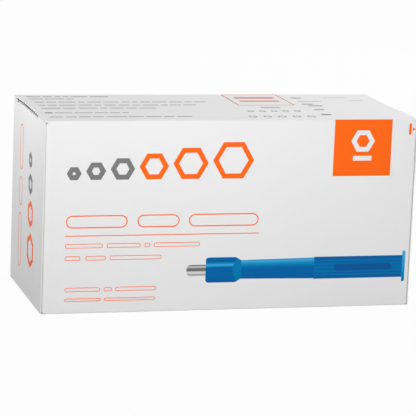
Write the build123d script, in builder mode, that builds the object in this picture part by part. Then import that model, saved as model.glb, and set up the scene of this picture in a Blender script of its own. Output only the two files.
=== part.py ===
"""Retail carton of ten individually packed skin biopsy punches.

The carton is one folded and glued board blank that lies on its long bottom panel. A lid closes each end:
it is folded at the bottom panel's edge, and its tongue tucks in behind the top panel. The print is one thin
film for each ink. Inside stand two stacks of blister packs, each with a clear tray, a paper backing, and a
punch whose moulded handle carries a tubular steel blade.

The sizes run from the inside out: the punch sets its blister pack, and the packs set the carton.

Millimetres. X runs along the carton, -Y is the front panel's side, +Z is up. The origin is the centre of
the bottom panel's outer face.
"""

import os
from math import asin, cos, degrees, pi, radians, sin

from build123d import *

os.makedirs("parts", exist_ok=True)

# Punch blade
blade_bore = 5.0
blade_wall = 0.2
blade_reach = 8.0
blade_seat = 9.0
blade_bevel = 1.4
blade_edge = 0.04
blade_fit = 0.02

# Punch handle
collar_wall = 2.5
collar_length = 14.8
collar_front_chamfer = 1.2
collar_back_chamfer = 2.3
neck_length = 31.0
neck_front_diameter = 7.7
neck_back_diameter = 8.7
grip_length = 38.2
grip_diameter = 9.2
end_flange_diameter = 13.0
end_flange_thickness = 1.3
groove_count = 9
groove_width = 0.7
groove_depth = 0.45
grooved_degrees = 280
label_length = 24.8
label_width = 3.0
label_depth = 0.35
label_cut_corner = 0.8
label_margin = 0.4
label_to_flange = 4.7
# Round sections have this many flats
punch_flats = 20

# Blister pack
backing_thickness = 0.2
tray_wall = 0.4
pocket_end_room = 12.35
pocket_side_room = 3.5
pocket_top_room = 1.05
pocket_draft_degrees = 6
pocket_cut_corner = 3.0
rest_clearance = 0.05
sealed_rim = 9.0
peel_tab = 23.0
side_rim = 6.2
blister_cut_corner = 2.0

# How the packs are packed
rows = 5
stack_gap = 0.2
stack_side_room = 0.55
stack_end_room = 1.5

# Carton board, and its glued seam along the back lower edge
board = 0.45
fold_radius = 0.7
glue_flap_width = 14.0
glue_flap_end_taper = 6.0
seam_groove_width = 0.15
seam_groove_depth = 0.3

# Dust flaps, folded in under the lids
dust_flap_length = 20.0
dust_flap_root_gap = 0.35
dust_flap_taper = 5.0
dust_flap_corner_radius = 4.0

# Lids
lid_gap = 0.1
lid_side_gap = 0.3
tuck_gap = 1.0
tuck_fold_radius = 0.9
tongue_length = 14.0
tongue_side_gap = 0.5
tongue_corner_radius = 9.0
tongue_room = 0.37
dust_flap_clearance = 0.3
lock_slit_width = 0.35

# Raw-edged shoulders beside the tuck fold, and the bowed recess over the fold in the top panel's end
shoulder_gap = 0.1
shoulder_front = 18.0
shoulder_back = 8.5
shoulder_slope = 4.0
recess_depth = 0.7

# Print on the front panel
ink = 0.04
print_margin = 9.1
hexagon_row_drop = 23.7
hexagon_heights = (5.2, 7.0, 8.6, 10.4, 12.6, 14.8)
hexagon_stroke = 2.0
hexagon_gap = 1.8
hexagon_sides = 6
rule_length = 80.0
rule_drop = 46.3
rule_height = 0.35
field_width = 24.6
field_drop = 23.2
field_right_margin = 11.1
field_wrap_degrees = 70
field_hexagon_height = 8.8
field_hexagon_drop = 8.8
field_bar_length = 8.0
field_bar_height = 2.0
field_bar_drop = 15.9
picture_right_margin = 2.3
picture_axis_height = 16.7
picture_blade_height = 4.5
picture_blade_corner = 1.6
picture_flange_corner = 0.5
picture_rib_height = 0.35
picture_rib_margin = 0.8
picture_rib_shares = (-0.76, -0.5, 0.5, 0.76)
open_mark_side = 1.5
open_mark_right_margin = 1.0
open_mark_drop = 4.0
open_bar_length = 4.5
open_bar_height = 1.0

# Print on the left lid and on the top panel
lid_hexagon_heights = (6.0, 7.8, 10.0, 12.6)
lid_row_drop = 17.2
lid_row_back_margin = 36.3
alert_box_width = 24.6
alert_box_depth = 28.6
alert_box_right_margin = 41.3
alert_box_back_margin = 1.2
alert_box_stroke = 0.5
alert_bar_length = 17.5
alert_bar_heights = (3.2, 2.4)
alert_bar_drops = (10.2, 18.8)

cut_overrun = 2.0

# Stations along the punch, from its cutting edge
blade_radius = blade_bore / 2 + blade_wall
collar_diameter = 2 * (blade_radius + collar_wall)
collar_front = blade_reach
collar_back = collar_front + collar_length
grip_front = collar_back + neck_length
grip_back = grip_front + grip_length
punch_length = grip_back + end_flange_thickness
label_middle = grip_back - label_to_flange - label_length / 2

# The pocket takes the punch, and the pack takes the pocket
widest_diameter = max(end_flange_diameter, collar_diameter, grip_diameter)
pocket_length = punch_length + 2 * pocket_end_room
pocket_width = widest_diameter + 2 * pocket_side_room
pocket_height = rest_clearance + widest_diameter + pocket_top_room
tray_height = pocket_height + tray_wall
blister_length = sealed_rim + pocket_length + peel_tab
blister_width = pocket_width + 2 * side_rim
pack_height = backing_thickness + tray_height
stack_height = rows * pack_height
pocket_middle = -blister_length / 2 + sealed_rim + pocket_length / 2
punch_tip = pocket_middle - punch_length / 2
punch_axis_height = backing_thickness + rest_clearance + widest_diameter / 2

# The carton takes the stacks, with room for the tongue's curve over them
tongue_drop = tongue_length**2 / (2 * stack_height)
headroom = tuck_gap + board + tongue_drop + tongue_room
carton_length = blister_length + 2 * (stack_end_room + board + lid_gap + board)
carton_depth = 2 * (board + stack_side_room + blister_width) + stack_gap
carton_height = 2 * board + stack_height + headroom + board

half_length = carton_length / 2
half_depth = carton_depth / 2
inner_half_depth = half_depth - board
flap_face = half_length - board - lid_gap

# Each lid turns about the middle of its board, at the bottom panel's edge
hinge_x = half_length - board / 2
hinge_z = board / 2
tongue_radius = carton_height - board - tuck_gap - hinge_z
tongue_under_radius = tongue_radius - board
lid_width = carton_depth - 2 * lid_side_gap
tongue_width = 2 * (inner_half_depth - tongue_side_gap)
tuck_fold_front = -lid_width / 2 + shoulder_front
tuck_fold_back = lid_width / 2 - shoulder_back

# The panels' outer faces, with the left lid's seen from its own side
front_face = Plane.XZ.offset(half_depth)
top_face = Plane.XY.offset(carton_height)
left_face = Plane(origin=(-half_length, 0, 0), x_dir=(0, -1, 0), z_dir=(-1, 0, 0))


# Carton tube
# A dust flap turns in from the front panel's right end, and narrows towards its free edge.
with BuildPart() as dust_flap:
    with BuildSketch() as flap_plan:
        with BuildLine():
            FilletPolyline(
                (flap_face - fold_radius - board, -half_depth + board / 2),
                (flap_face - board / 2, -half_depth + board / 2),
                (flap_face - board / 2, -half_depth + dust_flap_length),
                radius=fold_radius - board / 2,
            )
        trace(line_width=board)
    extrude(amount=carton_height)
    # Its fold is as high as the panel, and beside the tongue its top edge steps down clear of it.
    flap_bottom = board + dust_flap_root_gap
    flap_root_top = carton_height - fold_radius - dust_flap_root_gap
    flap_top = hinge_z + tongue_under_radius - dust_flap_clearance
    flap_step = -inner_half_depth + tongue_side_gap - dust_flap_clearance
    with BuildSketch(Plane.YZ) as flap_outline:
        with BuildLine():
            Polyline(
                (-half_depth, flap_bottom),
                (-half_depth, flap_root_top),
                (flap_step, flap_root_top),
                (flap_step, flap_top),
                (-half_depth + dust_flap_length, flap_top - dust_flap_taper),
                (-half_depth + dust_flap_length, flap_bottom + dust_flap_taper),
                close=True,
            )
        make_face()
        fillet(flap_outline.vertices().group_by(Axis.X)[-1], dust_flap_corner_radius)
    extrude(amount=half_length, mode=Mode.INTERSECT)

with BuildPart() as carton_tube:
    # Three corners of the wall are folds. The fourth is the bottom panel's raw edge at the glued seam.
    with BuildSketch(Plane.YZ) as wall_section:
        with Locations((0, carton_height / 2)):
            Rectangle(carton_depth, carton_height)
        seam_corner = wall_section.vertices().group_by(Axis.Y)[0].sort_by(Axis.X)[-1]
        fillet(wall_section.vertices() - [seam_corner], fold_radius)
        offset(amount=-board, mode=Mode.SUBTRACT)
    extrude(amount=half_length, both=True)

    # The front and back panels end at the dust flaps' folds. The top panel alone reaches the ends.
    panel_half_length = flap_face - fold_radius
    side_height = carton_height - fold_radius
    with BuildSketch(Plane.XZ) as panel_ends:
        with Locations((0, side_height / 2)):
            Rectangle(carton_length, side_height)
            Rectangle(2 * panel_half_length, side_height, mode=Mode.SUBTRACT)
    extrude(amount=carton_depth, both=True, mode=Mode.SUBTRACT)
    with BuildSketch() as bottom_panel:
        Rectangle(2 * flap_face, carton_depth - 2 * fold_radius)
    extrude(amount=board)

    add(dust_flap.part)
    mirror(dust_flap.part, about=Plane.XZ)
    mirror(dust_flap.part, about=Plane.YZ)
    add(dust_flap.part.rotate(Axis.Z, 180))

    # The glue flap lies on the bottom panel's inner face and narrows at its ends.
    glue_half_length = flap_face - 2 * board
    with BuildSketch(Plane.XY.offset(board)) as glue_flap:
        with BuildLine():
            Polyline(
                (-glue_half_length, inner_half_depth),
                (glue_half_length, inner_half_depth),
                (glue_half_length - glue_flap_end_taper, inner_half_depth - glue_flap_width),
                (-glue_half_length + glue_flap_end_taper, inner_half_depth - glue_flap_width),
                close=True,
            )
        make_face()
    extrude(amount=board)
    with BuildSketch(Plane.YZ) as seam_groove:
        with Locations((half_depth, board + seam_groove_width / 2)):
            Rectangle(2 * seam_groove_depth, seam_groove_width)
    extrude(amount=half_length, both=True, mode=Mode.SUBTRACT)

    # A bowed recess in each end of the top panel widens the slit that shows over the tuck fold.
    recess_front = tuck_fold_front - shoulder_slope
    recess_back = tuck_fold_back + shoulder_slope
    with BuildSketch(top_face) as recess:
        with BuildLine():
            ThreePointArc(
                (-half_length, recess_front),
                (-half_length + recess_depth, (recess_front + recess_back) / 2),
                (-half_length, recess_back),
            )
            Line((-half_length, recess_back), (-half_length, recess_front))
        make_face()
        mirror(about=Plane.YZ)
    extrude(amount=-board, mode=Mode.SUBTRACT)


# Lids
with BuildPart() as left_lid:
    # The tongue is curved about the lid's hinge line, so it draws out along its curve past the top panel.
    hinge_point = (-hinge_x, hinge_z)
    tip_degrees = degrees(asin(tongue_length / tongue_radius))
    outer_degrees = degrees(asin(board / 2 / tongue_radius))
    under_degrees = degrees(asin(board / 2 / tongue_under_radius))
    fold_foot = hinge_z + tongue_radius - 2 * tuck_fold_radius
    with BuildSketch(Plane.XZ) as tongue_section:
        with BuildLine():
            outside = CenterArc(hinge_point, tongue_radius, 90 - tip_degrees, tip_degrees + outer_degrees)
            inside = CenterArc(
                hinge_point, tongue_under_radius, 90 - tip_degrees, tip_degrees - under_degrees
            )
            Line(outside @ 0, inside @ 0)
            Polyline(outside @ 1, (-half_length, fold_foot), (-half_length + board, fold_foot), inside @ 1)
        make_face()
        fold_corners = tongue_section.vertices().sort_by(Axis.X)[:4].sort_by(Axis.Y)
        fillet(fold_corners[-1], tuck_fold_radius)
        fillet(tongue_section.vertices().sort_by_distance(inside @ 1)[0], tuck_fold_radius - board)
    extrude(amount=lid_width / 2, both=True)

    # Seen from above, a slit frees the tongue's ends from the shoulders, and its free corners are round.
    slit_edge = -half_length + board + lock_slit_width
    tongue_edge = -half_length + board + tongue_length
    with BuildSketch(Plane.XY.offset(fold_foot - cut_overrun)) as tongue_plan:
        with Locations(((slit_edge + tongue_edge) / 2, 0)):
            Rectangle(tongue_edge - slit_edge, tongue_width)
        fillet(tongue_plan.vertices().group_by(Axis.X)[-1], tongue_corner_radius)
        with Locations((-half_length, (tuck_fold_front + tuck_fold_back) / 2)):
            Rectangle(2 * (board + 2 * lock_slit_width), tuck_fold_back - tuck_fold_front)
    extrude(amount=carton_height, mode=Mode.INTERSECT)

    # The panel's shoulders rise past the tuck fold to the top panel, with their corners rounded clear of it.
    fold_top = hinge_z + tongue_radius - tuck_fold_radius
    shoulder_top = carton_height - board - shoulder_gap
    with BuildSketch(Plane.YZ.offset(-half_length)) as lid_panel:
        with BuildLine():
            Polyline(
                (-lid_width / 2, hinge_z),
                (-lid_width / 2, shoulder_top),
                (tuck_fold_front - shoulder_slope, shoulder_top),
                (tuck_fold_front, fold_top),
                (tuck_fold_back, fold_top),
                (tuck_fold_back + shoulder_slope, shoulder_top),
                (lid_width / 2, shoulder_top),
                (lid_width / 2, hinge_z),
                close=True,
            )
        make_face()
        shoulder_corners = lid_panel.vertices().group_by(Axis.Y)[-1].sort_by(Axis.X)
        fillet([shoulder_corners[0], shoulder_corners[-1]], fold_radius + lid_side_gap)
    extrude(amount=board)
    with BuildSketch(Plane.XZ) as knuckle:
        with Locations(hinge_point):
            Circle(board / 2)
    extrude(amount=lid_width / 2, both=True)

with BuildPart() as right_lid:
    mirror(left_lid.part, about=Plane.YZ)


# Blister pack, about its own middle, on its backing
with BuildPart() as blister_backing:
    with BuildSketch() as backing_sheet:
        Rectangle(blister_length, blister_width)
        chamfer(backing_sheet.vertices(), blister_cut_corner)
    extrude(amount=backing_thickness)

with BuildPart() as blister_tray:
    with BuildSketch(Plane.XY.offset(backing_thickness)):
        add(backing_sheet.sketch)
    extrude(amount=tray_wall)
    with BuildSketch(Plane.XY.offset(backing_thickness)) as pocket_outside:
        with Locations((pocket_middle, 0)):
            Rectangle(pocket_length + 2 * tray_wall, pocket_width + 2 * tray_wall)
        chamfer(pocket_outside.vertices(), pocket_cut_corner + tray_wall)
    extrude(amount=tray_height, taper=pocket_draft_degrees)
    with BuildSketch(Plane.XY.offset(backing_thickness)) as pocket_inside:
        with Locations((pocket_middle, 0)):
            Rectangle(pocket_length, pocket_width)
        chamfer(pocket_inside.vertices(), pocket_cut_corner)
    extrude(amount=pocket_height, taper=pocket_draft_degrees, mode=Mode.SUBTRACT)

# The handle's turned front, from the collar to the grip: how far along the punch, and how wide
handle_stations = (
    (collar_front, collar_diameter - 2 * collar_front_chamfer),
    (collar_front + collar_front_chamfer, collar_diameter),
    (collar_back - collar_back_chamfer, collar_diameter),
    (collar_back, neck_front_diameter),
    (grip_front, neck_back_diameter),
)


half_flat_degrees = 180 / punch_flats


def section_plane(along):
    """The plane across the punch at a distance from its cutting edge, centred on its axis."""
    return Plane(origin=(punch_tip + along, 0, punch_axis_height), x_dir=(0, 1, 0), z_dir=(1, 0, 0))


def side_plane(turn):
    """The plane of the punch's side view, turned about its axis by a number of flats."""
    angle = 2 * pi * turn / punch_flats
    return Plane(
        origin=(punch_tip, 0, punch_axis_height), x_dir=(1, 0, 0), z_dir=(0, -cos(angle), -sin(angle))
    )


def side_outline(stations):
    """The side view of a turned form, through stations that give how far along it is and how wide."""
    upper = [(along, diameter / 2) for along, diameter in stations]
    return upper + [(along, -height) for along, height in reversed(upper)]


def grip_point(radius, angle):
    """A point of the grip's section, at an angle in degrees about its axis from the punch's side."""
    return (radius * cos(radians(angle)), radius * sin(radians(angle)))


with BuildPart() as punch_handle:
    # The side view cut across from each side in turn leaves the turned form, with its flats.
    for turn in range(punch_flats // 2):
        with BuildSketch(side_plane(turn)):
            with BuildLine():
                Polyline(*side_outline(handle_stations), close=True)
            make_face()
        extrude(amount=collar_diameter, both=True, mode=Mode.INTERSECT if turn else Mode.ADD)

    # V-shaped finger grooves run along the grip, all round but for a flat land on top.
    grip_radius = grip_diameter / 2
    groove_half_degrees = degrees(asin(groove_width / grip_diameter))
    land_half_degrees = degrees(asin((label_width / 2 + label_margin) / grip_radius))
    grip_outline = [grip_point(grip_radius, 90 - land_half_degrees)]
    grip_outline += [grip_point(grip_radius, 90 + land_half_degrees)]
    for groove in range(groove_count):
        groove_middle = 270 - grooved_degrees / 2 + groove * grooved_degrees / (groove_count - 1)
        grip_outline += [
            grip_point(grip_radius, groove_middle - groove_half_degrees),
            grip_point(grip_radius - groove_depth, groove_middle),
            grip_point(grip_radius, groove_middle + groove_half_degrees),
        ]
    with BuildSketch(section_plane(grip_front)):
        with BuildLine():
            Polyline(*grip_outline, close=True)
        make_face()
    extrude(amount=grip_length)
    with BuildSketch(section_plane(grip_back)):
        RegularPolygon(end_flange_diameter / 2, punch_flats, major_radius=False, rotation=half_flat_degrees)
    extrude(amount=end_flange_thickness)

    with BuildSketch(section_plane(collar_front)) as blade_socket:
        RegularPolygon(
            blade_radius + blade_fit, punch_flats, major_radius=False, rotation=half_flat_degrees
        )
    extrude(amount=blade_seat + blade_fit, mode=Mode.SUBTRACT)
    land_height = punch_axis_height + grip_radius * cos(radians(land_half_degrees))
    with BuildSketch(Plane.XY.offset(land_height - label_depth)) as label_recess:
        with Locations((punch_tip + label_middle, 0)):
            Rectangle(label_length, label_width)
        chamfer(label_recess.vertices(), label_cut_corner)
    extrude(amount=2 * label_depth, mode=Mode.SUBTRACT)

# The blade is a tube with its bevel ground on the outside.
blade_back = blade_reach + blade_seat
blade_stations = (
    (0, blade_bore + 2 * blade_edge),
    (blade_bevel, 2 * blade_radius),
    (blade_back, 2 * blade_radius),
)
with BuildPart() as punch_blade:
    for turn in range(punch_flats // 2):
        with BuildSketch(side_plane(turn)):
            with BuildLine():
                Polyline(*side_outline(blade_stations), close=True)
            make_face()
        extrude(amount=blade_bore, both=True, mode=Mode.INTERSECT if turn else Mode.ADD)
    with BuildSketch(section_plane(0)) as bore:
        RegularPolygon(blade_bore / 2, punch_flats, major_radius=False, rotation=half_flat_degrees)
    extrude(amount=blade_back, mode=Mode.SUBTRACT)


# Print
def hexagon_row(heights):
    """Hexagons side by side, each on a flat: how far along the row each centre is, and its height."""
    places = []
    start = 0
    for height in heights:
        width = height / cos(pi / hexagon_sides)
        places.append((start + width / 2, height))
        start += width + hexagon_gap
    return places


def print_hexagon(place, height, turn=0):
    """A printed open hexagon in the sketch that is open, turned by some degrees from standing on a flat."""
    with Locations(place):
        for apothem, mode in ((height / 2, Mode.ADD), (height / 2 - hexagon_stroke, Mode.SUBTRACT)):
            RegularPolygon(apothem, hexagon_sides, major_radius=False, rotation=turn, mode=mode)


# The front panel's row of hexagons stands on one line: the smaller half grey, the larger half orange.
front_row = hexagon_row(hexagon_heights)
front_row_left = -half_length + print_margin
front_row_foot = carton_height - hexagon_row_drop

with BuildPart() as grey_print:
    with BuildSketch(front_face):
        for along, height in front_row[: len(front_row) // 2]:
            print_hexagon((front_row_left + along, front_row_foot + height / 2), height)
    extrude(amount=ink)

with BuildPart() as orange_print:
    # The square field starts on the top fold, where its film bends with the board.
    field_x = half_length - field_right_margin - field_width / 2
    fold_z = carton_height - fold_radius
    with BuildSketch(Plane.YZ.offset(field_x - field_width / 2)) as field_section:
        with BuildLine():
            Line(
                (-half_depth - ink / 2, carton_height - field_drop),
                (-half_depth - ink / 2, fold_z),
            )
            CenterArc(
                (-half_depth + fold_radius, fold_z), fold_radius + ink / 2, 180, -field_wrap_degrees
            )
        trace(line_width=ink)
    extrude(amount=field_width)
    # An open hexagon and a bar in it stay unprinted.
    with BuildSketch(front_face):
        print_hexagon((field_x, carton_height - field_hexagon_drop), field_hexagon_height)
        with Locations((field_x, carton_height - field_bar_drop)):
            Rectangle(field_bar_length, field_bar_height)
    extrude(amount=ink, mode=Mode.SUBTRACT)
    with BuildSketch(front_face):
        for along, height in front_row[len(front_row) // 2 :]:
            print_hexagon((front_row_left + along, front_row_foot + height / 2), height)
        with Locations((front_row_left + rule_length / 2, carton_height - rule_drop)):
            Rectangle(rule_length, rule_height)
        # The opening mark points at the right lid.
        open_mark_x = half_length - open_mark_right_margin - open_mark_side / 2
        with Locations((open_mark_x, carton_height - open_mark_drop)):
            Triangle(a=open_mark_side, b=open_mark_side, c=open_mark_side, rotation=-90)
        with Locations((open_mark_x - open_mark_side, carton_height - open_mark_drop)):
            Rectangle(open_bar_height, open_bar_length)
    extrude(amount=ink)

# The front panel's picture of the punch, at full size
picture_x = half_length - picture_right_margin - punch_length
picture_plane = Plane(
    origin=(picture_x, -half_depth, picture_axis_height), x_dir=(1, 0, 0), z_dir=(0, -1, 0)
)

with BuildPart() as dark_blue_print:
    with BuildSketch(picture_plane) as pictured_label:
        with Locations((label_middle, 0)):
            Rectangle(label_length, label_width)
        chamfer(pictured_label.vertices(), label_cut_corner)
        rib_length = grip_length - 2 * picture_rib_margin
        for share in picture_rib_shares:
            with Locations(((grip_front + grip_back) / 2, share * grip_diameter / 2)):
                Rectangle(rib_length, picture_rib_height)
    extrude(amount=ink)

with BuildPart() as blue_print:
    pictured_stations = (
        (collar_front, collar_diameter),
        *handle_stations[2:],
        (grip_front, grip_diameter),
        (grip_back, grip_diameter),
        (grip_back, end_flange_diameter),
        (punch_length, end_flange_diameter),
    )
    with BuildSketch(picture_plane) as pictured_handle:
        with BuildLine():
            Polyline(*side_outline(pictured_stations), close=True)
        make_face()
        fillet(pictured_handle.vertices().group_by(Axis.X)[0], collar_front_chamfer)
        chamfer(pictured_handle.vertices().group_by(Axis.X)[-1], picture_flange_corner)
    extrude(amount=ink)
    add(dark_blue_print.part, mode=Mode.SUBTRACT)

with BuildPart() as steel_print:
    with BuildSketch(picture_plane) as pictured_blade:
        with Locations((blade_reach / 2, 0)):
            Rectangle(blade_reach, picture_blade_height)
        fillet(pictured_blade.vertices().group_by(Axis.X)[0], picture_blade_corner)
    extrude(amount=ink)

with BuildPart() as red_print:
    with BuildSketch(top_face):
        alert_x = half_length - alert_box_right_margin - alert_box_width / 2
        alert_y = half_depth - alert_box_back_margin - alert_box_depth / 2
        with Locations((alert_x, alert_y)):
            Rectangle(alert_box_width, alert_box_depth)
            Rectangle(
                alert_box_width - 2 * alert_box_stroke,
                alert_box_depth - 2 * alert_box_stroke,
                mode=Mode.SUBTRACT,
            )
        for bar_drop, bar_height in zip(alert_bar_drops, alert_bar_heights):
            with Locations((alert_x, half_depth - bar_drop)):
                Rectangle(alert_bar_length, bar_height)
    extrude(amount=ink)

# The left lid's row runs down from the top, and its hexagons stand on a line beside the back edge.
lid_row = hexagon_row(lid_hexagon_heights)
lid_prints = []
for half_row in (lid_row[: len(lid_row) // 2], lid_row[len(lid_row) // 2 :]):
    with BuildPart() as lid_print:
        with BuildSketch(left_face):
            for along, height in half_row:
                across = -half_depth + lid_row_back_margin + height / 2
                print_hexagon((across, carton_height - lid_row_drop - along), height, turn=90)
        extrude(amount=ink)
    lid_prints.append(lid_print.part)


# Files
carton_pieces = {
    "carton_tube": carton_tube.part,
    "left_lid": left_lid.part,
    "right_lid": right_lid.part,
    "grey_print": grey_print.part,
    "orange_print": orange_print.part,
    "blue_print": blue_print.part,
    "dark_blue_print": dark_blue_print.part,
    "steel_print": steel_print.part,
    "red_print": red_print.part,
    "lid_grey_print": lid_prints[0],
    "lid_orange_print": lid_prints[1],
}
for name, piece in carton_pieces.items():
    piece.label = name
    export_step(piece, f"parts/{name}.step")

# The back stack stands on the glue flap.
blister_pieces = {
    "blister_backing": blister_backing.part,
    "blister_tray": blister_tray.part,
    "punch_handle": punch_handle.part,
    "punch_blade": punch_blade.part,
}
stack_y = (blister_width + stack_gap) / 2
pack_places = [(-stack_y, board + row * pack_height) for row in range(rows)]
pack_places += [(stack_y, 2 * board + row * pack_height) for row in range(rows)]
for number, (pack_y, pack_z) in enumerate(pack_places, start=1):
    for name, piece in blister_pieces.items():
        packed = piece.moved(Location((0, pack_y, pack_z)))
        packed.label = f"{name}_{number:02d}"
        export_step(packed, f"parts/{packed.label}.step")
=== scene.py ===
"""A white retail carton of ten skin biopsy punches, as it lies on a table.

Metres. X runs along the carton towards the right lid, -Y points out of the printed front panel, +Z is up.
The carton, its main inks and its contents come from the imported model. Added here are the finish of every
surface, rows of bare outlines and bars in ink, and the ten punches as smooth turned forms.
"""

import math

import bmesh
import bpy
import numpy as np
from mathutils import Matrix, Vector


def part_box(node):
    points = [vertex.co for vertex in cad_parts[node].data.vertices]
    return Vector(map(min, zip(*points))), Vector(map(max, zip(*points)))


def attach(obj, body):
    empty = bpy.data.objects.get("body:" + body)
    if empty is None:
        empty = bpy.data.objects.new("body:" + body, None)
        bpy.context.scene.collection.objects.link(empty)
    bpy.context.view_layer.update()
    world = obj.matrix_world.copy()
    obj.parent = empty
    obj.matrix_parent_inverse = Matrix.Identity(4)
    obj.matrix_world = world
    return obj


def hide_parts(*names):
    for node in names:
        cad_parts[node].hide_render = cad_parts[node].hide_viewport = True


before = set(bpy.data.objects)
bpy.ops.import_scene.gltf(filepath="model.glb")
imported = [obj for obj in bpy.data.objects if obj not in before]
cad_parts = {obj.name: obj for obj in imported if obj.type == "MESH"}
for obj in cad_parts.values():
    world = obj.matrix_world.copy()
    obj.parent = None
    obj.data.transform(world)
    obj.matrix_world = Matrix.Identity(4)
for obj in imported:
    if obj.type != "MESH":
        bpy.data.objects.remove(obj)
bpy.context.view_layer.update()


# Carton board
# One blank of folding boxboard, cut, creased and glued. Its outer side is clay coated, white and satin, its
# inner side is bare cream pulp, and its cut edges show the pulp. The lids are ends of the same blank.
board_thickness = 0.00045
fold_radius = 0.0007
tuck_gap = 0.001
tuck_fold_radius = 0.0009
half_length, half_depth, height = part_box("carton_tube")[1]
tongue_radius = height - board_thickness - tuck_gap - board_thickness / 2
edge_slack_share = 0.02
square_on = 0.9
x_axis = 0
y_axis = 1

coated_white = (0.805, 0.805, 0.805)
bare_pulp = (0.73, 0.705, 0.645)
dark_pulp_share = 0.88
cut_edge = (0.79, 0.785, 0.765)
mottle = 0.014
mottle_grain = 320
fibre_grain = 2200
fibre_detail = 5
along_fibre = (0.35, 1, 1)
surface_grain = 1800
surface_detail = 4
board_gloss = 0.3
coated_roughness = 0.5
bare_roughness = 0.85
bare_relief = 0.00002
coated_relief_share = 0.15


def feed(tree, socket, term):
    """Join another node's output to a socket, or set the socket to a plain value."""
    if isinstance(term, bpy.types.NodeSocket):
        tree.links.new(term, socket)
    else:
        socket.default_value = term


def calc(tree, operation, *terms):
    """One step of arithmetic on outputs and plain numbers."""
    node = tree.nodes.new("ShaderNodeMath")
    node.operation = operation
    for socket, term in zip(node.inputs, terms):
        feed(tree, socket, term)
    return node.outputs[0]


def past(tree, distance, limit):
    """How far a distance goes past a limit, or 0 before it."""
    return calc(tree, "MAXIMUM", calc(tree, "SUBTRACT", distance, limit), 0)


def diagonal(tree, across, up):
    """The length of a slant line: the root of the sum of the squares of how far it goes across and up."""
    squares = [calc(tree, "MULTIPLY", part, part) for part in (across, up)]
    return calc(tree, "SQRT", calc(tree, "ADD", *squares))


def blend_colours(tree, share, first, second):
    """The colour that goes from the first to the second as the share goes from 0 to 1."""
    node = tree.nodes.new("ShaderNodeMix")
    node.data_type = "RGBA"
    feed(tree, node.inputs["Factor"], share)
    ends = [socket for socket in node.inputs if socket.type == "RGBA"]
    for socket, colour in zip(ends, (first, second)):
        feed(tree, socket, (*colour, 1) if isinstance(colour, tuple) else colour)
    return next(socket for socket in node.outputs if socket.type == "RGBA")


def own_place(tree):
    """The point of the piece in its own frame."""
    return tree.nodes.new("ShaderNodeTexCoord").outputs["Object"]


def parts_of(tree, vector):
    """A vector's three parts, along X, Y and Z."""
    split = tree.nodes.new("ShaderNodeSeparateXYZ")
    feed(tree, split.inputs[0], vector)
    return split.outputs


def facing(tree, axis):
    """How far the surface faces along an axis of the piece's own frame, from -1 to 1."""
    return parts_of(tree, tree.nodes.new("ShaderNodeTexCoord").outputs["Normal"])[axis]


def faces_along(tree, axis):
    """1 where the surface looks along the axis, either way."""
    return calc(tree, "GREATER_THAN", calc(tree, "ABSOLUTE", facing(tree, axis)), square_on)


def grain(tree, place, per_metre, detail=3.0, stretch=(1, 1, 1)):
    """Cloudy variation from 0 to 1, with so many clouds to a metre. It is drawn out along an axis whose
    stretch is small."""
    mapping = tree.nodes.new("ShaderNodeMapping")
    mapping.inputs["Scale"].default_value = stretch
    feed(tree, mapping.inputs["Vector"], place)
    noise = tree.nodes.new("ShaderNodeTexNoise")
    noise.inputs["Scale"].default_value = per_metre
    noise.inputs["Detail"].default_value = detail
    feed(tree, noise.inputs["Vector"], mapping.outputs[0])
    return noise.outputs[0]


def relief(tree, shader, height_share, depth):
    """Raise the surface by up to a depth in metres where the share is high."""
    bump = tree.nodes.new("ShaderNodeBump")
    bump.inputs["Distance"].default_value = depth
    feed(tree, bump.inputs["Height"], height_share)
    feed(tree, shader.inputs["Normal"], bump.outputs[0])


def start_material(name, roughness, **sockets):
    """A material with one main shader, and the shader's plain values."""
    material = bpy.data.materials.new(name)
    material.use_nodes = True
    shader = material.node_tree.nodes["Principled BSDF"]
    shader.inputs["Roughness"].default_value = roughness
    for socket, value in sockets.items():
        shader.inputs[socket.replace("_", " ")].default_value = value
    return material, material.node_tree, shader


def dress(material, *nodes):
    """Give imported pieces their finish."""
    for node in nodes:
        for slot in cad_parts[node].material_slots:
            slot.material = material


def board_material(name, coated_side, raw_edge):
    """Coated and bare board: coated_side gives, from a point's parts, 1 on the outer half of the sheet, and
    raw_edge 1 on its cut edges."""
    material, tree, shader = start_material(name, coated_roughness, Specular_IOR_Level=board_gloss)
    place = own_place(tree)
    x, y, z = parts_of(tree, place)
    outer = coated_side(tree, x, y, z)
    fibre = grain(tree, place, fibre_grain, fibre_detail, along_fibre)
    dark_pulp = tuple(dark_pulp_share * part for part in bare_pulp)
    pulp = blend_colours(tree, fibre, dark_pulp, bare_pulp)
    faces = blend_colours(tree, outer, pulp, coated_white)
    tint = tree.nodes.new("ShaderNodeVectorMath")
    tint.operation = "SCALE"
    feed(tree, tint.inputs[0], blend_colours(tree, raw_edge(tree, z), faces, cut_edge))
    shade = calc(tree, "MULTIPLY_ADD", grain(tree, place, mottle_grain), mottle, 1 - mottle / 2)
    feed(tree, tint.inputs["Scale"], shade)
    feed(tree, shader.inputs["Base Color"], tint.outputs[0])
    smoother = coated_roughness - bare_roughness
    feed(tree, shader.inputs["Roughness"], calc(tree, "MULTIPLY_ADD", outer, smoother, bare_roughness))
    rough_side = calc(tree, "MULTIPLY_ADD", outer, coated_relief_share - 1, 1)
    fine = grain(tree, place, surface_grain, surface_detail)
    relief(tree, shader, calc(tree, "MULTIPLY", fine, rough_side), bare_relief)
    return material


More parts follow.
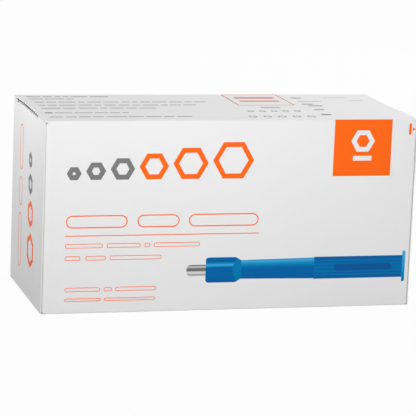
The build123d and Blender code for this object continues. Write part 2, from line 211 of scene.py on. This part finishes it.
def tube_outside(tree, x, y, z):
    """The outer half of the tube's board, round its folds too, and of the dust flaps under the lids."""
    beyond = []
    for part, middle, half in ((y, 0, half_depth), (z, height / 2, height / 2)):
        off_middle = calc(tree, "ABSOLUTE", calc(tree, "SUBTRACT", part, middle))
        beyond.append(past(tree, off_middle, half - fold_radius))
    walls = calc(tree, "GREATER_THAN", diagonal(tree, *beyond), fold_radius - board_thickness / 2)
    flap_middle = half_length - 2 * board_thickness
    flaps = calc(tree, "GREATER_THAN", calc(tree, "ABSOLUTE", x), flap_middle)
    return calc(tree, "MAXIMUM", walls, flaps)


def tube_raw_edge(tree, z):
    """The raw ends of the top panel, which look along the carton over the lids."""
    over_lid = calc(tree, "GREATER_THAN", z, height - board_thickness * (1 + edge_slack_share))
    return calc(tree, "MULTIPLY", faces_along(tree, x_axis), over_lid)


def lid_outside(tree, x, y, z):
    """The outer half of a lid's board: past the middle of its panel, of its tongue, which is curved about
    the hinge line, and of the fold between them. What faces into the carton is bare."""
    along = calc(tree, "ABSOLUTE", x)
    inwards = calc(tree, "SUBTRACT", half_length - board_thickness / 2, along)
    upwards = calc(tree, "SUBTRACT", z, board_thickness / 2)
    from_hinge = diagonal(tree, inwards, upwards)
    beyond_panel = past(tree, along, half_length - tuck_fold_radius)
    beyond_tongue = past(tree, from_hinge, tongue_radius - tuck_fold_radius)
    from_fold = diagonal(tree, beyond_panel, beyond_tongue)
    outer_half = calc(tree, "GREATER_THAN", from_fold, tuck_fold_radius - board_thickness / 2)
    outwards = calc(tree, "MULTIPLY", facing(tree, x_axis), calc(tree, "SIGN", x))
    return calc(tree, "MULTIPLY", outer_half, calc(tree, "GREATER_THAN", outwards, -square_on))


def lid_raw_edge(tree, z):
    """The lid's raw sides, which look out of the front and the back of the carton at any height."""
    return faces_along(tree, y_axis)


dress(board_material("coated_board_tube", tube_outside, tube_raw_edge), "carton_tube")
dress(board_material("coated_board_lid", lid_outside, lid_raw_edge), "left_lid", "right_lid")


# Flat inks
# The open hexagons on the front and the left lid, the square field, the opening mark and the red box on top.
# Offset inks on the coating, one thin film each, with a little unevenness from the press.
ink_film = 0.00004
ink_roughness = 0.45
ink_gloss = 0.05
ink_relief = 0.000004
thinnest_share = 0.985
press_grain = 900
press_detail = 4
press_power = 0.5
orange = (1.0, 0.138, 0.004)
grey = (0.195, 0.195, 0.195)
soft_grey = (0.365, 0.365, 0.365)
red = (0.66, 0.085, 0.04)


def start_ink(name):
    """A film of ink that follows the board's own fine relief, with its colour still to be fed."""
    material, tree, shader = start_material(name, ink_roughness, Specular_IOR_Level=ink_gloss)
    relief(tree, shader, grain(tree, own_place(tree), surface_grain, surface_detail), ink_relief)
    return material, tree, shader.inputs["Base Color"]


def ink_material(name, colour):
    """A printed solid, whose colour runs a little thin in places."""
    material, tree, ink_colour = start_ink(name)
    thin = tuple(1 - thinnest_share * (1 - part) for part in colour)
    full = calc(tree, "POWER", grain(tree, own_place(tree), press_grain, press_detail), press_power)
    feed(tree, ink_colour, blend_colours(tree, full, thin, colour))
    return material


orange_ink = ink_material("orange_ink", orange)
grey_ink = ink_material("grey_ink", grey)
soft_grey_ink = ink_material("soft_grey_ink", soft_grey)
dress(orange_ink, "orange_print", "lid_orange_print")
dress(grey_ink, "grey_print", "lid_grey_print")
dress(ink_material("red_ink", red), "red_print")


# Pictured punch
# A picture of the product at full size, printed in blues and greys. It is lit from above in the picture, so
# each turned form has a pale band below its top edge.
collar_length = 0.0148
collar_back_chamfer = 0.0023
neck_length = 0.031
grip_length = 0.0382
neck_front_radius = 0.00385
neck_back_radius = 0.00435
collar_radius = 0.0052
grip_radius = 0.0046
end_flange_radius = 0.0065
grip_bands = 12
cone_width_share = 1.6
cone_blur = 0.0003
(picture_left, _, picture_foot), (_, _, picture_head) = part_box("blue_print")
(_, _, blade_foot), (_, _, blade_head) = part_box("steel_print")
picture_axis = (picture_foot + picture_head) / 2
collar_back = picture_left + collar_length
grip_front = collar_back + neck_length
grip_back = grip_front + grip_length

deep_blue = (0.0, 0.122, 0.378)
mid_blue = (0.0, 0.19, 0.45)
bright_blue = (0.008, 0.28, 0.56)
pale_blue = (0.06, 0.39, 0.67)
shadow_blue = (0.0, 0.09, 0.32)
dark_steel = (0.16, 0.16, 0.16)
mid_steel = (0.38, 0.38, 0.38)
light_steel = (0.66, 0.66, 0.66)

# Each form's colours, by how far up it they stand.
collar_shares = (
    (0.0, shadow_blue), (0.06, deep_blue), (0.6, deep_blue), (0.65, bright_blue),
    (0.69, pale_blue), (0.75, bright_blue), (0.82, deep_blue), (1.0, deep_blue),
)
cone_shares = ((0.0, deep_blue), (0.1, mid_blue), (1.0, mid_blue))
neck_shares = (
    (0.0, shadow_blue), (0.08, deep_blue), (0.55, deep_blue), (0.68, mid_blue),
    (0.8, bright_blue), (0.92, pale_blue), (1.0, bright_blue),
)
grip_shares = (
    (0.0, deep_blue),
    *((step / grip_bands, (mid_blue, deep_blue)[step % 2]) for step in range(1, grip_bands)),
    (1.0, deep_blue),
)
flange_shares = ((0.0, mid_blue), (0.3, bright_blue), (0.9, pale_blue))
blade_shares = (
    (0.0, mid_steel), (0.12, mid_steel), (0.24, light_steel), (0.36, light_steel), (0.46, dark_steel),
    (0.66, dark_steel), (0.74, mid_steel), (0.83, light_steel), (0.92, dark_steel), (1.0, dark_steel),
)


def soft_step(tree, value, end):
    """0 before 0, 1 after the end, and a smooth rise between them."""
    node = tree.nodes.new("ShaderNodeMapRange")
    node.interpolation_type = "SMOOTHSTEP"
    for name, term in (("Value", value), ("From Min", 0), ("From Max", end)):
        feed(tree, node.inputs[name], term)
    return node.outputs["Result"]


def ramp(tree, share, stops):
    """A colour that passes through the stops, each a share and a colour."""
    node = tree.nodes.new("ShaderNodeValToRGB")
    elements = node.color_ramp.elements
    while len(elements) < len(stops):
        elements.new(position=0.5)
    for element, (position, colour) in zip(elements, stops):
        element.position = position
        element.color = (*colour, 1)
    feed(tree, node.inputs["Fac"], share)
    return node.outputs["Color"]


def up_from_axis(tree, z, radius):
    """A point's height over the picture's axis, in radii: -1 at a form's lower edge, 1 at its upper edge."""
    return calc(tree, "DIVIDE", calc(tree, "SUBTRACT", z, picture_axis), radius)


def turned_form(tree, z, radius, stops):
    """The colours of a pictured form, from 0 at its lower edge to 1 at its upper edge."""
    share = calc(tree, "DIVIDE", calc(tree, "ADD", up_from_axis(tree, z, radius), 1), 2)
    return ramp(tree, share, stops)


def blue_picture():
    """The handle's picture: one ramp of blues for each form along it. The collar's back is a cone that the
    picture shows as a paler end, whose edge is bowed by the square of the height over the axis."""
    material, tree, ink_colour = start_ink("picture_blue_ink")
    x, _, z = parts_of(tree, own_place(tree))
    slope = (neck_back_radius - neck_front_radius) / neck_length
    along_neck = calc(tree, "SUBTRACT", x, collar_back)
    neck_radius = calc(tree, "MULTIPLY_ADD", along_neck, slope, neck_front_radius)
    collar = turned_form(tree, z, collar_radius, collar_shares)
    cone = turned_form(tree, z, collar_radius, cone_shares)
    neck = turned_form(tree, z, neck_radius, neck_shares)
    grip = turned_form(tree, z, grip_radius, grip_shares)
    flange = turned_form(tree, z, end_flange_radius, flange_shares)

    up = up_from_axis(tree, z, collar_radius)
    bow = calc(tree, "MULTIPLY", calc(tree, "MULTIPLY", up, up), collar_back_chamfer)
    cone_middle = collar_back - cone_width_share * collar_back_chamfer
    past_cone_edge = calc(tree, "SUBTRACT", x, calc(tree, "ADD", bow, cone_middle))
    colour = blend_colours(tree, soft_step(tree, past_cone_edge, cone_blur), collar, cone)
    for start, form in ((collar_back, neck), (grip_front, grip), (grip_back, flange)):
        colour = blend_colours(tree, calc(tree, "GREATER_THAN", x, start), colour, form)
    feed(tree, ink_colour, colour)
    return material


def steel_picture():
    """The blade's picture: bands of grey from its lower edge, through its dark middle, to its upper edge."""
    material, tree, ink_colour = start_ink("picture_silver_ink")
    _, _, z = parts_of(tree, own_place(tree))
    share = calc(tree, "DIVIDE", calc(tree, "SUBTRACT", z, blade_foot), blade_head - blade_foot)
    feed(tree, ink_colour, ramp(tree, share, blade_shares))
    return material


dress(blue_picture(), "blue_print")
dress(ink_material("dark_blue_ink", shadow_blue), "dark_blue_print")
dress(steel_picture(), "steel_print")


# Outlines on the front panel
# Three long rounded outlines on one line, and four lines of small ones below it, in thin strokes of the
# orange ink. They are bare, so there is nothing to read. An outline is a start and a length, and a line of
# small ones is its outlines, its drop below the top edge and its height.
front_panel = ((-half_length, -half_depth, height), (1, 0, 0), (0, 0, 1), (0, -1, 0))
long_outlines = ((0.0093, 0.0251), (0.0384, 0.0174), (0.0596, 0.0292))
long_drop = 0.0406
long_tall = 0.0052
long_stroke = 0.00045
small_lines = (
    (((0.0093, 0.0153), (0.0262, 0.0139), (0.0416, 0.0023), (0.0455, 0.0191)), 0.0504, 0.0018),
    (((0.0093, 0.0063), (0.0176, 0.0083), (0.0275, 0.0213)), 0.0554, 0.0018),
    (((0.0095, 0.0145), (0.0255, 0.0034), (0.0302, 0.0168)), 0.0682, 0.0017),
    (((0.0095, 0.0149), (0.0257, 0.0210)), 0.0724, 0.0013),
)
small_corner = 0.0008
small_stroke = 0.00026
corner_points = 5
corner_signs = ((1, 1), (-1, 1), (-1, -1), (1, -1))


def corner_loops(blocks, corner, inset=0.0):
    """The outline of each block, a row of middle across, middle up, width and height. A point stands off the
    centre of its corner's quarter circle by the corner's radius times the cosine and sine of its angle."""
    quarter = np.linspace(0, np.pi / 2, corner_points)
    angle = (np.arange(len(corner_signs))[:, None] * np.pi / 2 + quarter).ravel()
    sides = np.repeat(corner_signs, corner_points, axis=0)
    half = blocks[:, None, 2:] / 2 - inset
    radius = np.minimum(max(corner - inset, 0.0), half.min(axis=2, keepdims=True))
    turn = np.stack([np.cos(angle), np.sin(angle)], axis=1)
    return blocks[:, None, :2] + sides * (half - radius) + radius * turn


def bands(near, far):
    """The four-sided faces between closed loops of points and the loops that follow them."""
    ahead = [np.roll(loops, -1, axis=-1) for loops in (near, far)]
    return np.stack([near, *ahead, far], axis=-1).reshape(-1, 4).tolist()


def new_piece(name, mesh, material, body):
    """An object at the origin that carries the mesh, rides on a body and takes its finish from a slot."""
    mesh.materials.append(material)
    piece = bpy.data.objects.new(name, mesh)
    bpy.context.collection.objects.link(piece)
    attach(piece, body)
    return piece


def printed(name, blocks, panel, material, body, corner, stroke=None):
    """A film of ink on a panel, which is a corner and its directions across, up and out. Each block's
    outline is raised by the film's thickness and closed, with an inner one where it is drawn as a stroke."""
    origin, across, up, out = (np.array(part, dtype=float) for part in panel)
    blocks = np.array(blocks, dtype=float)
    rings = [corner_loops(blocks, corner)]
    if stroke:
        rings.append(corner_loops(blocks, corner, stroke))
    flat = np.stack(rings, axis=1)[:, :, None]
    lift = np.array([0, ink_film])[:, None, None]
    place = origin + flat[..., :1] * across + flat[..., 1:] * up + lift * out

    index = np.arange(place[..., 0].size).reshape(place.shape[:-1])
    outer_low, outer_high = index[:, 0, 0], index[:, 0, 1]
    faces = bands(outer_low, outer_high)
    if stroke:
        inner_low, inner_high = index[:, 1, 0], index[:, 1, 1]
        for near, far in ((inner_high, inner_low), (outer_high, inner_high), (inner_low, outer_low)):
            faces += bands(near, far)
    else:
        faces += outer_high.tolist() + outer_low[:, ::-1].tolist()
    mesh = bpy.data.meshes.new(name)
    mesh.from_pydata(place.reshape(-1, 3).tolist(), [], faces)
    new_piece(name, mesh, material, body)


def on_a_line(runs, drop, tall):
    """Blocks on a line, one for each run's start and length, at a drop below the panel's top edge."""
    return [(start + length / 2, -drop, length, tall) for start, length in runs]


long_blocks = on_a_line(long_outlines, long_drop, long_tall)
printed(
    "title_words", long_blocks, front_panel, orange_ink, "carton", long_tall / 2, long_stroke
)
small_blocks = []
for runs, drop, tall in small_lines:
    small_blocks += on_a_line(runs, drop, tall)
printed(
    "small_print", small_blocks, front_panel, orange_ink, "carton", small_corner, small_stroke
)


# Outlines on the left lid
# Three shorter outlines, turned to run down the lid beside its hexagons. They have the same ink and the same
# thin strokes, on the lid's coated face.
lid_panel = ((-half_length, half_depth, height), (0, -1, 0), (0, 0, 1), (-1, 0, 0))
lid_outlines = ((0.0090, 0.0190), (0.0310, 0.0122), (0.0460, 0.0230))
lid_across = 0.0197
lid_wide = 0.0062
lid_blocks = [(lid_across, -(start + length / 2), lid_wide, length) for start, length in lid_outlines]
printed("lid_words", lid_blocks, lid_panel, orange_ink, "left_lid", lid_wide / 2, long_stroke)


# Bars on the top panel
# Seven lines of thin bars, one with a short bold bar before it, two rows of small open squares and a few
# blocks, in grey inks. A line is a start, a length and a drop from the back edge, and its bars are drawn at
# random.
top_panel = ((-half_length, half_depth, height), (1, 0, 0), (0, 1, 0), (0, 0, 1))
top_lines = (
    (0.0036, 0.0388, 0.0062),
    (0.0041, 0.0259, 0.0122),
    (0.0046, 0.0770, 0.0206),
    (0.0046, 0.0667, 0.0285),
    (0.0043, 0.0520, 0.0362),
    (0.0076, 0.0350, 0.0478),
    (0.0034, 0.0612, 0.0578),
)
bold_bar = (0.0036, 0.0031)
bold_bar_drop = 0.0478
bar_tall = 0.0011
bar_space = 0.0008
shortest_bar = 0.0025
longest_bar = 0.0085
most_bars = 40


def spread_bars(start, length, seed):
    """A line's bars: starts and lengths drawn at random, with a space after each."""
    draw = np.random.default_rng(seed)
    lengths = draw.uniform(shortest_bar, longest_bar, most_bars)
    starts = start + np.concatenate([[0], np.cumsum(lengths + bar_space)[:-1]])
    fits = starts + lengths < start + length
    return list(zip(starts[fits], lengths[fits]))


bars = on_a_line([bold_bar], bold_bar_drop, 2 * bar_tall)
for line, (start, length, drop) in enumerate(top_lines):
    bars += on_a_line(spread_bars(start, length, line), drop, bar_tall)
printed("top_print", bars, top_panel, grey_ink, "carton", bar_tall / 2)

# A row of squares is a start, a pitch, a count, a drop and a height.
square_rows = ((0.0900, 0.0050, 5, 0.0450, 0.0026), (0.0870, 0.0062, 5, 0.0585, 0.0032))
square_corner = 0.0005
square_stroke = 0.0005
squares = []
for start, pitch, count, drop, tall in square_rows:
    squares += [(start + pitch * place, -drop, tall, tall) for place in range(count)]
printed("top_symbols", squares, top_panel, grey_ink, "carton", square_corner, square_stroke)

# A block is a middle, a length, a drop and a height, and most blocks stand in one column.
pale_blocks = (
    (0.1199, 0.0044, 0.0107, 0.0024),
    (0.1232, 0.0103, 0.0203, 0.0009),
    (0.1205, 0.0043, 0.0417, 0.0026),
    (0.1376, 0.0109, 0.0099, 0.0004),
    (0.1446, 0.0060, 0.0178, 0.0005),
    (0.1012, 0.0083, 0.0360, 0.0022),
)
dark_blocks = (
    (0.1200, 0.0050, 0.0272, 0.0018),
    (0.1220, 0.0062, 0.0318, 0.0018),
    (0.1195, 0.0041, 0.0542, 0.0026),
)
block_corner = 0.0003
for name, rows, ink in (
    ("top_pale_codes", pale_blocks, soft_grey_ink), ("top_dark_codes", dark_blocks, grey_ink)
):
    blocks = [(middle, -drop, length, tall) for middle, length, drop, tall in rows]
    printed(name, blocks, top_panel, ink, "carton", block_corner)


# Blister packs
# Ten peel packs, each a sheet of white medical paper sealed to a tray that is drawn hot from a thin clear
# sheet. The paper peels off the tray's rim to free the punch.
packs = [f"{number:02d}" for number in range(1, 11)]
paper_roughness = 0.8
paper_white = (0.9, 0.9, 0.89)
paper_shadow = (0.8, 0.8, 0.79)
paper_grain = 1500
along_paper = (0.2, 1, 1)
paper_relief = 0.00003
clear_tint = (0.94, 0.97, 0.99, 1)
clear_cover = 0.22
clear_roughness = 0.12
clear_gloss = 1.0
wave_grain = 120
wave_detail = 2
wave_depth = 0.00015


def backing_material():
    """Medical paper: matt white, with long faint fibres."""
    material, tree, shader = start_material("medical_paper", paper_roughness)
    fibres = grain(tree, own_place(tree), paper_grain, fibre_detail, along_paper)
    feed(tree, shader.inputs["Base Color"], blend_colours(tree, fibres, paper_shadow, paper_white))
    relief(tree, shader, fibres, paper_relief)
    return material


def tray_material():
    """Clear formed plastic that shows what is behind it, with the faint waviness of a hot-drawn sheet."""
    material, tree, shader = start_material(
        "clear_plastic",
        clear_roughness,
        Base_Color=clear_tint,
        Alpha=clear_cover,
        Specular_IOR_Level=clear_gloss,
    )
    relief(tree, shader, grain(tree, own_place(tree), wave_grain, wave_detail), wave_depth)
    return material


dress(backing_material(), *(f"blister_backing_{pack}" for pack in packs))
dress(tray_material(), *(f"blister_tray_{pack}" for pack in packs))


# Punches
# Each is a handle moulded in blue plastic, with its collar, tapering neck, finger-grooved grip and end
# flange in one, that carries a ground tube of stainless steel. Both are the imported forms, turned smooth.
collar_front_chamfer = 0.0012
end_flange_thickness = 0.0013
eased_edge = 0.00025
groove_count = 9
grooved_angle = math.radians(280)
groove_width = 0.0007
groove_depth = 0.00045
label_length = 0.0248
label_width = 0.003
label_depth = 0.00035
label_cut_corner = 0.0008
label_margin = 0.0004
label_to_flange = 0.0047
blade_reach = 0.008
blade_seat = 0.009
blade_bevel = 0.0014
blade_edge = 0.00004
blade_fit = 0.00002
bore_radius = 0.0025
blade_radius = 0.0027

easing_steps = 9
label_corner_steps = 9
punch_sides = 96
crease_angle = math.radians(20)
angle_digits = 6
merge_distance = 1e-7
least_cosine = 1e-9
grip_top = np.pi / 2
grip_bottom = -grip_top

moulded_roughness = 0.38
moulded_gloss = 0.5
moulded_dark = (0.0, 0.13, 0.38)
moulded_light = (0.0, 0.16, 0.43)
moulded_grain = 260
spark_grain = 4000
spark_detail = 2
spark_depth = 0.00001
steel_dark = (0.55, 0.55, 0.56)
steel_light = (0.72, 0.72, 0.73)
grinding_grain = 9000
round_the_tube = (1, 0.03, 0.03)
smoothest_steel = 0.15
grinding_roughness = 0.2

collar_end = blade_reach + collar_length
grip_start = collar_end + neck_length
grip_end = grip_start + grip_length
handle_end = grip_end + end_flange_thickness
socket_end = blade_reach + blade_seat + blade_fit
blade_end = blade_reach + blade_seat


def eased(profile):
    """A profile of distances along the punch and radii, with its corners eased. Each corner becomes a
    quadratic curve between a point on each of its runs, which stands off the corner by the easing, or by
    half the run if that is less."""
    profile = np.array(profile, dtype=float)
    corners = profile[1:-1]
    ends = []
    for neighbours in (profile[:-2], profile[2:]):
        run = neighbours - corners
        length = np.linalg.norm(run, axis=1, keepdims=True)
        ends.append(corners + run / length * np.minimum(eased_edge, length / 2))
    near, far = (points[:, None] for points in ends)
    share = np.linspace(0, 1, easing_steps)[None, :, None]
    curves = (1 - share) ** 2 * near + 2 * share * (1 - share) * corners[:, None] + share**2 * far
    return np.vstack([profile[:1], curves.reshape(-1, 2), profile[-1:]])


front_profile = eased(
    (
        (socket_end, blade_radius + blade_fit),
        (blade_reach, blade_radius + blade_fit),
        (blade_reach, collar_radius - collar_front_chamfer),
        (blade_reach + collar_front_chamfer, collar_radius),
        (collar_end - collar_back_chamfer, collar_radius),
        (collar_end, neck_front_radius),
        (grip_start, neck_back_radius),
    )
)
flange_profile = eased(
    (
        (grip_end, grip_radius),
        (grip_end, end_flange_radius),
        (handle_end, end_flange_radius),
        (handle_end, end_flange_radius / 2),
    )
)
blade_profile = np.array(
    (
        (0, bore_radius),
        (0, bore_radius + blade_edge),
        (blade_bevel, blade_radius),
        (blade_end, blade_radius),
        (blade_end, bore_radius),
    )
)

# The grip's rows run from the neck to the flange. The flat land on its top holds a recess for the label,
# which narrows to cut corners at both ends and has no width outside them.
land_half_angle = math.asin((label_width / 2 + label_margin) / grip_radius)
land_height = grip_radius * math.cos(land_half_angle)
recess_floor = land_height - label_depth
label_end = grip_end - label_to_flange
label_start = label_end - label_length
corner_run = np.linspace(0, label_cut_corner, label_corner_steps)
corner_half_widths = label_width / 2 - label_cut_corner + corner_run
recess_rows = np.concatenate([label_start + corner_run, (label_end - corner_run)[::-1]])
grip_rows = np.concatenate([[grip_start, label_start], recess_rows, [label_end, grip_end]])
recess_half_widths = np.concatenate([[0, 0], corner_half_widths, corner_half_widths[::-1], [0, 0]])

# The handle's points stand at even angles, at the edges and the middle of each groove, and at the edges of
# the land and of the recess.
even_angles = np.linspace(0, 2 * np.pi, punch_sides, endpoint=False)
groove_middles = grip_bottom + grooved_angle * np.linspace(-0.5, 0.5, groove_count)
groove_half_angle = math.asin(groove_width / 2 / grip_radius)
recess_angles = np.arctan2([[land_height], [recess_floor]], corner_half_widths)
edge_angles = (
    groove_middles[:, None] + groove_half_angle * np.array([-1, 0, 1]),
    grip_top + land_half_angle * np.array([-1, 1]),
    recess_angles,
    np.pi - recess_angles,
)
handle_angles = np.concatenate([even_angles, *(angles.ravel() for angles in edge_angles)])
handle_angles = np.unique(np.round(handle_angles % (2 * np.pi), angle_digits))


def grip_radii():
    """The grip's radius, by row and angle. The round part loses the grooves' depth times how near the angle
    is to a groove's middle. The land's radius is its height over the sine of the angle, and so is the recess
    floor's, up to the side wall, whose radius is the recess's half width over the cosine."""
    off_groove = np.abs((handle_angles[:, None] - groove_middles + np.pi) % (2 * np.pi) - np.pi).min(axis=1)
    round_part = grip_radius - groove_depth * np.clip(1 - off_groove / groove_half_angle, 0, 1)
    on_land = np.abs(handle_angles - grip_top) < land_half_angle
    sine = np.where(on_land, np.sin(handle_angles), 1)
    cosine = np.maximum(np.abs(np.cos(handle_angles)), least_cosine)
    section = np.where(on_land, land_height / sine, round_part)
    half_widths = recess_half_widths[:, None]
    over_floor = recess_floor * cosine / sine <= half_widths
    deep = np.where(over_floor, recess_floor / sine, half_widths / cosine)
    return np.where(on_land & (half_widths > 0), np.minimum(section, deep), section)


def round_radii(profile, angles):
    """A profile's radii, the same at every angle."""
    return np.repeat(profile[:, 1:], len(angles), axis=1)


def turned(kind, pack, along, radii, angles, material, hollow=False):
    """A turned piece in the place of a packed one. A point stands off the punch's axis by its ring's radius
    times the cosine and sine of its angle. A hollow piece's last ring joins its first, and the ends of any
    other piece are capped."""
    low, high = (np.array(corner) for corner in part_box(f"punch_handle_{pack}"))
    tip = low[0] - blade_reach
    axis_y, axis_z = (low[1:] + high[1:]) / 2
    x = np.broadcast_to(tip + along[:, None], radii.shape)
    place = np.stack([x, axis_y + radii * np.cos(angles), axis_z + radii * np.sin(angles)], axis=-1)

    index = np.arange(radii.size).reshape(radii.shape)
    if hollow:
        faces = bands(index, np.roll(index, -1, axis=0))
    else:
        faces = bands(index[:-1], index[1:]) + [index[0, ::-1].tolist(), index[-1].tolist()]
    mesh = bpy.data.meshes.new(f"{kind}_{pack}")
    mesh.from_pydata(place.reshape(-1, 3).tolist(), [], faces)
    form = bmesh.new()
    form.from_mesh(mesh)
    bmesh.ops.remove_doubles(form, verts=form.verts, dist=merge_distance)
    bmesh.ops.recalc_face_normals(form, faces=form.faces)
    form.to_mesh(mesh)
    form.free()
    mesh.shade_smooth()
    mesh.set_sharp_from_angle(angle=crease_angle)
    piece = new_piece(f"{kind}_{pack}", mesh, material, "carton")
    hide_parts(f"punch_{kind}_{pack}")


def handle_material():
    """Moulded blue plastic with a fine spark-eroded texture."""
    material, tree, shader = start_material(
        "moulded_blue", moulded_roughness, Specular_IOR_Level=moulded_gloss
    )
    place = own_place(tree)
    blues = blend_colours(tree, grain(tree, place, moulded_grain), moulded_dark, moulded_light)
    feed(tree, shader.inputs["Base Color"], blues)
    relief(tree, shader, grain(tree, place, spark_grain, spark_detail), spark_depth)
    return material


def blade_material():
    """Ground steel with fine lines that run round the tube, rougher where they are pale."""
    material, tree, shader = start_material("ground_steel", smoothest_steel, Metallic=1.0)
    lines = grain(tree, own_place(tree), grinding_grain, stretch=round_the_tube)
    feed(tree, shader.inputs["Base Color"], blend_colours(tree, lines, steel_dark, steel_light))
    roughness = calc(tree, "MULTIPLY_ADD", lines, grinding_roughness, smoothest_steel)
    feed(tree, shader.inputs["Roughness"], roughness)
    return material


handle_along = np.concatenate([front_profile[:, 0], grip_rows, flange_profile[:, 0]])
handle_front = round_radii(front_profile, handle_angles)
handle_back = round_radii(flange_profile, handle_angles)
handle_radii = np.vstack([handle_front, grip_radii(), handle_back])
blade_along = blade_profile[:, 0]
blade_radii = round_radii(blade_profile, even_angles)
moulded_blue = handle_material()
ground_steel = blade_material()
for pack in packs:
    turned("handle", pack, handle_along, handle_radii, handle_angles, moulded_blue)
    turned("blade", pack, blade_along, blade_radii, even_angles, ground_steel, hollow=True)


# Floor and light
# A wide white table under soft studio light. The camera, reflections and glass see it nearly white, with the
# carton's faint shadow kept.
floor_half = 4.0
floor_white = (0.8, 0.8, 0.8, 1)
floor_roughness = 0.9
shadow_share = 0.05
surround_level = 0.66
pure_white = (1, 1, 1, 1)


def seen_share(tree):
    """1 for what the camera, a reflection or a clear piece looks at, and 0 for light that bounces."""
    path = tree.nodes.new("ShaderNodeLightPath")
    seen = calc(tree, "MAXIMUM", path.outputs["Is Camera Ray"], path.outputs["Is Glossy Ray"])
    return calc(tree, "MAXIMUM", seen, path.outputs["Is Transmission Ray"])


floor_material, floor_tree, floor_shader = start_material(
    "white_table", floor_roughness, Base_Color=floor_white, Specular_IOR_Level=0.0
)
glow = floor_tree.nodes.new("ShaderNodeEmission")
glow.inputs["Color"].default_value = pure_white
floor_mix = floor_tree.nodes.new("ShaderNodeMixShader")
glow_share = calc(floor_tree, "MULTIPLY", seen_share(floor_tree), 1 - shadow_share)
for socket, term in zip(floor_mix.inputs, (glow_share, floor_shader.outputs[0], glow.outputs[0])):
    feed(floor_tree, socket, term)
feed(floor_tree, floor_tree.nodes["Material Output"].inputs["Surface"], floor_mix.outputs[0])

floor_mesh = bpy.data.meshes.new("table_top")
floor_corners = [
    (-floor_half, -floor_half, 0),
    (floor_half, -floor_half, 0),
    (floor_half, floor_half, 0),
    (-floor_half, floor_half, 0),
]
floor_mesh.from_pydata(floor_corners, [], [(0, 1, 2, 3)])
floor_mesh.materials.append(floor_material)
floor = bpy.data.objects.new("table_top", floor_mesh)
bpy.context.collection.objects.link(floor)

surround = bpy.data.worlds.new("studio")
surround.use_nodes = True
bpy.context.scene.world = surround
sky_tree = surround.node_tree
sky = sky_tree.nodes["Background"]
sky.inputs["Color"].default_value = pure_white
sky_level = calc(sky_tree, "MULTIPLY_ADD", seen_share(sky_tree), 1 - surround_level, surround_level)
feed(sky_tree, sky.inputs["Strength"], sky_level)


def softbox(name, place, aim, size, power, spread_degrees=180):
    """A lamp that faces the aim, with a width that lies level and a height. A grid narrows its spread."""
    lamp = bpy.data.lights.new(name, "AREA")
    lamp.shape = "RECTANGLE"
    lamp.size, lamp.size_y = size
    lamp.spread = math.radians(spread_degrees)
    lamp.energy = power
    holder = bpy.data.objects.new(name, lamp)
    bpy.context.collection.objects.link(holder)
    holder.visible_camera = False
    holder.location = place
    holder.rotation_euler = (Vector(aim) - Vector(place)).to_track_quat("-Z", "Y").to_euler()


front_aim = (-0.055, -half_depth, 0.095)
end_aim = (-half_length, 0, 0.13)
carton_middle = (0, 0, height / 2)
softbox("front_box", place=(-0.1, -0.9, 0.2), aim=front_aim, size=(0.3, 0.2), power=0.06, spread_degrees=18)
softbox("end_box", place=(-0.9, -0.2, 0.14), aim=end_aim, size=(0.08, 0.08), power=0.033, spread_degrees=13)
softbox("front_fill", place=(0, -0.9, 0.06), aim=carton_middle, size=(0.4, 0.2), power=0.7)
softbox("right_box", place=(0.45, -0.5, 0.5), aim=carton_middle, size=(0.3, 0.3), power=0.242)
softbox("back_box", place=(0.45, 0.7, 0.6), aim=carton_middle, size=(0.4, 0.4), power=1.68)


# Camera
# The photograph's view: a little left of the front and a little above it, from about a metre away, with a
# slight roll to one side.
camera_place = (-0.2524, -0.9016, 0.2237)
camera_forward = Vector((0.2635, 0.9443, -0.1973)).normalized()
camera_roll = math.radians(2.319)
lens_millimetres = 198.2
sensor_millimetres = 36.0
camera_data = bpy.data.cameras.new("photo_camera")
camera_data.lens = lens_millimetres
camera_data.sensor_width = sensor_millimetres
camera = bpy.data.objects.new("photo_camera", camera_data)
bpy.context.collection.objects.link(camera)
level_right = camera_forward.cross(Vector((0, 0, 1))).normalized()
level_up = level_right.cross(camera_forward)
right = math.cos(camera_roll) * level_right + math.sin(camera_roll) * level_up
upright = right.cross(camera_forward)
turn = Matrix((right, upright, -camera_forward)).transposed().to_4x4()
camera.matrix_world = Matrix.Translation(camera_place) @ turn
bpy.context.scene.camera = camera
bpy.context.scene.view_settings.view_transform = "Standard"
